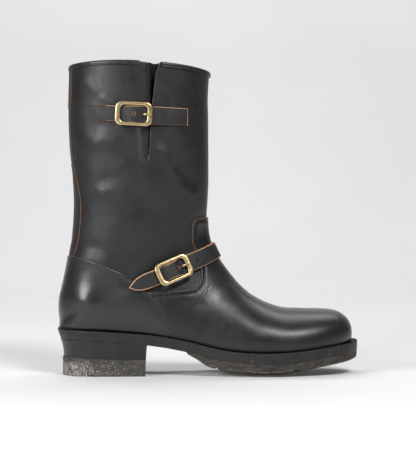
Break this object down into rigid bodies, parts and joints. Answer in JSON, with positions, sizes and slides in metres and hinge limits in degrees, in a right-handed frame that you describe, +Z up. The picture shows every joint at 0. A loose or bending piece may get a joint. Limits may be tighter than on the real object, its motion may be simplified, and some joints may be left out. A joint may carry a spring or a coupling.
{
  "type": "engineer boot",
  "caption": "Right-foot black leather pull-on boot with a tall shaft, side gusset, buckled collar and instep straps, stacked heel and half sole.",
  "frame": {"origin": "the middle of the heel's resting face, on the floor", "axes": "+X towards the toe, +Z up, +Y towards the inner side of this right boot"},
  "size_m": [0.3087, 0.111, 0.3152],
  "materials": {
    "shaft_leather": "smooth black, soft sheen, fine creases",
    "vamp_leather": "smooth black, polished over the toe",
    "strap_leather": "black with raw tan-brown edges",
    "gusset_leather": "thin soft black",
    "insole_leather": "undyed, matt",
    "sole_leather": "black edge finish, lightly scuffed",
    "sole_rubber": "worn black rubber, matt",
    "heel_rubber": "worn and speckled grey-brown, matt",
    "buckle_brass": "aged, satin"
  },
  "bodies": {
    "root": {"upper": "shaft_leather", "vamp": "vamp_leather", "counter": "vamp_leather", "back_stay": "shaft_leather", "top_binding": "shaft_leather", "gusset": "gusset_leather", "top_strap": "strap_leather", "top_chape": "strap_leather", "top_buckle": "buckle_brass", "top_prong": "buckle_brass", "instep_strap": "strap_leather", "instep_chape": "strap_leather", "instep_buckle": "buckle_brass", "instep_prong": "buckle_brass", "insole": "insole_leather", "welt": "sole_leather", "midsole": "sole_leather", "half_sole": "sole_rubber", "heel_stack": "sole_leather", "heel_lift": "heel_rubber"}
  },
  "joints": []
}
